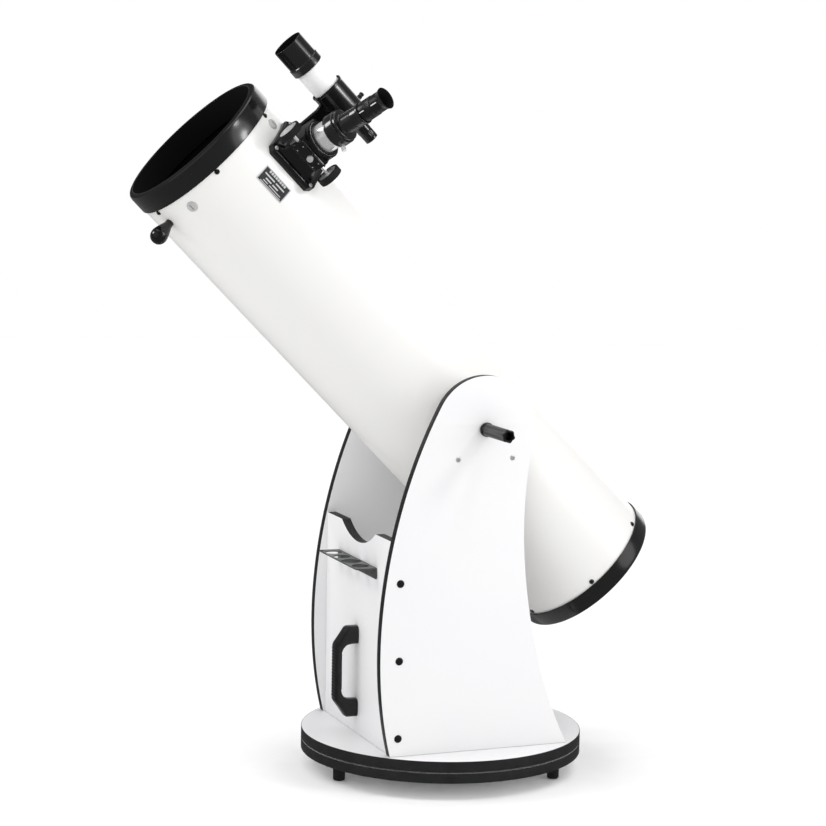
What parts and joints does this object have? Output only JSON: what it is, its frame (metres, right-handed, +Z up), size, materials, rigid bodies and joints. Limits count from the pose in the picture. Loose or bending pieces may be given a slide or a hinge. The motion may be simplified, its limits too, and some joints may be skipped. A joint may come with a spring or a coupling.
{
  "type": "dobsonian telescope",
  "caption": "Solid-tube Newtonian reflector on a white laminated rocker-box mount, with focuser, finder, carry handle and eyepiece rack.",
  "frame": {"origin": "on the floor, in the middle of the whole object's outline seen from above; the azimuth pivot stands 100 mm towards +X from it", "axes": "+Z up; the tube points towards -X and up; the side panel that carries the near tension handle faces -Y"},
  "size_m": [0.9981, 0.583, 1.3589],
  "materials": {
    "tube_paint": "gloss white powder coat on rolled steel, matt black inside",
    "laminate": "white melamine faces on chipboard with black edge banding",
    "cast_black": "semi-gloss black paint on die-cast aluminium",
    "anodised_black": "black anodised, satin",
    "black_plastic": "moulded black plastic, satin",
    "black_rubber": "matt black rubber",
    "knob_metal": "turned bright face with a knurled black rubber rim",
    "rack_paint": "dark grey powder coat on sheet steel",
    "nylon": "white nylon",
    "polished_steel": "plated steel",
    "bright_chrome": "chromed brass tube",
    "mirror_glass": "aluminised front surface on a ground glass blank"
  },
  "bodies": {
    "ground": {"ground_board": "laminate", "foot_1": "black_rubber", "foot_2": "black_rubber", "foot_3": "black_rubber", "azimuth_pad_1": "nylon", "azimuth_pad_2": "nylon", "azimuth_pad_3": "nylon", "pivot_bolt": "polished_steel", "pivot_nut": "polished_steel"},
    "rocker": {"rocker_base_board": "laminate", "side_panel_near": "laminate", "side_panel_far": "laminate", "front_board": "laminate", "eyepiece_rack": "rack_paint", "carry_handle": "black_plastic", "bearing_post_near_front": "nylon", "bearing_post_near_rear": "nylon", "bearing_post_far_front": "nylon", "bearing_post_far_rear": "nylon"},
    "tube": {"optical_tube": "tube_paint", "front_ring": "cast_black", "rear_ring": "cast_black", "altitude_bearing_near": "black_plastic", "altitude_bearing_far": "black_plastic", "guide_knob": "black_plastic", "spider": "anodised_black", "focuser_base": "cast_black", "focuser_body": "cast_black", "finder_shoe": "cast_black"},
    "tension_handle_near": {"tension_handle_near": "black_plastic"},
    "tension_handle_far": {"tension_handle_far": "black_plastic"},
    "secondary_bolt": {"secondary_bolt": "polished_steel"},
    "secondary": {"secondary_holder": "anodised_black", "secondary_mirror": "mirror_glass"},
    "mirror_cell": {"mirror_cell": "cast_black", "primary_mirror": "mirror_glass"},
    "collimation_knob_1": {"collimation_knob_1": "black_plastic"},
    "collimation_knob_2": {"collimation_knob_2": "black_plastic"},
    "collimation_knob_3": {"collimation_knob_3": "black_plastic"},
    "lock_screw_1": {"lock_screw_1": "polished_steel"},
    "lock_screw_2": {"lock_screw_2": "polished_steel"},
    "lock_screw_3": {"lock_screw_3": "polished_steel"},
    "drawtube": {"drawtube": "bright_chrome", "adapter_ring": "anodised_black"},
    "focus_knobs": {"focus_shaft": "polished_steel", "focus_knob_front": "knob_metal", "focus_knob_rear": "knob_metal"},
    "focus_lock_screw": {"focus_lock_screw": "polished_steel"},
    "adapter_thumbscrew": {"adapter_thumbscrew": "polished_steel"},
    "eyepiece_adapter": {"eyepiece_adapter": "anodised_black"},
    "eyepiece": {"eyepiece": "black_plastic"},
    "finder_bracket": {"finder_bracket": "cast_black"},
    "finder_shoe_screw": {"finder_shoe_screw": "anodised_black"},
    "finder_pivot": {"finder_o_ring": "black_rubber"},
    "finder": {"finder_tube": "tube_paint", "finder_eyepiece": "anodised_black"},
    "finder_objective": {"finder_dew_cap": "anodised_black"},
    "aiming_screw_1": {"aiming_screw_1": "anodised_black"},
    "aiming_screw_2": {"aiming_screw_2": "anodised_black"},
    "aiming_plunger": {"aiming_plunger": "anodised_black"}
  },
  "joints": [
    {"name": "azimuth", "type": "hinge", "parent": "ground", "child": "rocker", "pos_m": [0.1, 0, 0.054], "axis": [0, 0, 1], "continuous": true},
    {"name": "altitude", "type": "hinge", "parent": "rocker", "child": "tube", "pos_m": [0.1, 0, 0.661], "axis": [0, 1, 0], "range_deg": [-45.5, 44.5]},
    {"name": "tension_handle_near", "type": "hinge", "parent": "tube", "child": "tension_handle_near", "pos_m": [0.1, -0.19, 0.661], "axis": [0, -1, 0], "range_deg": [0, 540]},
    {"name": "tension_handle_far", "type": "hinge", "parent": "tube", "child": "tension_handle_far", "pos_m": [0.1, 0.19, 0.661], "axis": [0, 1, 0], "range_deg": [0, 540]},
    {"name": "focus_travel", "type": "slide", "parent": "tube", "child": "drawtube", "axis": [0.4864, -0.7314, 0.478], "range_m": [-0.023, 0.022]},
    {"name": "focus_knobs", "type": "hinge", "parent": "tube", "child": "focus_knobs", "pos_m": [-0.23023, -0.15823, 1.14826], "axis": [-0.7009, 0, 0.7133], "range_deg": [-425, 445]},
    {"name": "focus_lock_screw", "type": "hinge", "parent": "tube", "child": "focus_lock_screw", "pos_m": [-0.23147, -0.16624, 1.14144], "axis": [-0.5216, -0.682, -0.5126], "range_deg": [0, 360]},
    {"name": "adapter_thumbscrew", "type": "hinge", "parent": "drawtube", "child": "adapter_thumbscrew", "pos_m": [-0.18568, -0.18064, 1.19204], "axis": [0.0509, -0.5224, -0.8512], "range_deg": [0, 360]},
    {"name": "adapter_pull", "type": "slide", "parent": "drawtube", "child": "eyepiece_adapter", "axis": [0.4864, -0.7314, 0.478], "range_m": [0, 0.035]},
    {"name": "eyepiece_pull", "type": "slide", "parent": "eyepiece_adapter", "child": "eyepiece", "axis": [0.4864, -0.7314, 0.478], "range_m": [0, 0.03]},
    {"name": "finder_release", "type": "slide", "parent": "tube", "child": "finder_bracket", "axis": [-0.7009, 0, 0.7133], "range_m": [0, 0.055]},
    {"name": "finder_shoe_screw", "type": "hinge", "parent": "tube", "child": "finder_shoe_screw", "pos_m": [-0.20342, -0.0449, 1.18162], "axis": [0.2672, 0.9272, 0.2626], "range_deg": [0, 360]},
    {"name": "finder_tilt_1", "type": "hinge", "parent": "finder_bracket", "child": "finder_pivot", "pos_m": [-0.17312, -0.09065, 1.25906], "axis": [-0.2787, 0.9205, -0.2739], "range_deg": [-1, 1]},
    {"name": "finder_tilt_2", "type": "hinge", "parent": "finder_pivot", "child": "finder", "pos_m": [-0.17312, -0.09065, 1.25906], "axis": [0.6566, 0.3907, 0.6452], "range_deg": [-1, 1]},
    {"name": "aiming_screw_1", "type": "hinge", "parent": "finder_bracket", "child": "aiming_screw_1", "pos_m": [-0.13668, -0.09065, 1.22197], "axis": [0.6566, 0.3907, 0.6452], "range_deg": [-410, 410]},
    {"name": "aiming_screw_2", "type": "hinge", "parent": "finder_bracket", "child": "aiming_screw_2", "pos_m": [-0.13668, -0.09065, 1.22197], "axis": [0.2787, -0.9205, 0.2739], "range_deg": [-410, 410]},
    {"name": "aiming_plunger", "type": "slide", "parent": "finder_bracket", "child": "aiming_plunger", "axis": [-0.4391, 0.788, -0.4315], "range_m": [0, 0.003], "stiffness_N_per_m": 800, "springref_m": -0.002},
    {"name": "finder_objective", "type": "hinge", "parent": "finder", "child": "finder_objective", "pos_m": [-0.22359, -0.09065, 1.31041], "axis": [-0.7009, 0, 0.7133], "range_deg": [-360, 360]},
    {"name": "mirror_tilt", "type": "hinge", "parent": "tube", "child": "mirror_cell", "pos_m": [0.38106, -0.042, 0.37499], "axis": [0.7133, 0, 0.7009], "range_deg": [-0.5, 0.5]},
    {"name": "collimation_knob_1", "type": "hinge", "parent": "tube", "child": "collimation_knob_1", "pos_m": [0.39719, 0.084, 0.35858], "axis": [0.7009, 0, -0.7133], "range_deg": [-400, 400]},
    {"name": "collimation_knob_2", "type": "hinge", "parent": "tube", "child": "collimation_knob_2", "pos_m": [0.44907, -0.042, 0.40957], "axis": [0.7009, 0, -0.7133], "range_deg": [-400, 400]},
    {"name": "collimation_knob_3", "type": "hinge", "parent": "tube", "child": "collimation_knob_3", "pos_m": [0.3453, -0.042, 0.30759], "axis": [0.7009, 0, -0.7133], "range_deg": [-400, 400]},
    {"name": "lock_screw_1", "type": "hinge", "parent": "tube", "child": "lock_screw_1", "pos_m": [0.39719, 0.112, 0.35858], "axis": [0.7009, 0, -0.7133], "range_deg": [0, 360]},
    {"name": "lock_screw_2", "type": "hinge", "parent": "tube", "child": "lock_screw_2", "pos_m": [0.46637, -0.056, 0.42657], "axis": [0.7009, 0, -0.7133], "range_deg": [0, 360]},
    {"name": "lock_screw_3", "type": "hinge", "parent": "tube", "child": "lock_screw_3", "pos_m": [0.328, -0.056, 0.2906], "axis": [0.7009, 0, -0.7133], "range_deg": [0, 360]},
    {"name": "secondary_turn", "type": "hinge", "parent": "tube", "child": "secondary_bolt", "pos_m": [-0.34858, 0, 1.11748], "axis": [-0.7009, 0, 0.7133], "range_deg": [-10, 10]},
    {"name": "secondary_tilt", "type": "hinge", "parent": "secondary_bolt", "child": "secondary", "pos_m": [-0.34438, 0, 1.1132], "axis": [0.5216, 0.682, 0.5126], "range_deg": [-1.5, 1.5]}
  ],
  "couplings": [
    {"joint": "focus_knobs", "follows": "focus_travel", "rad_per_m": -333.33},
    {"joint": "aiming_screw_1", "follows": "finder_tilt_1", "ratio": -408.41},
    {"joint": "aiming_screw_2", "follows": "finder_tilt_2", "ratio": -408.41},
    {"joint": "collimation_knob_1", "follows": "mirror_tilt", "ratio": 791.68}
  ]
}
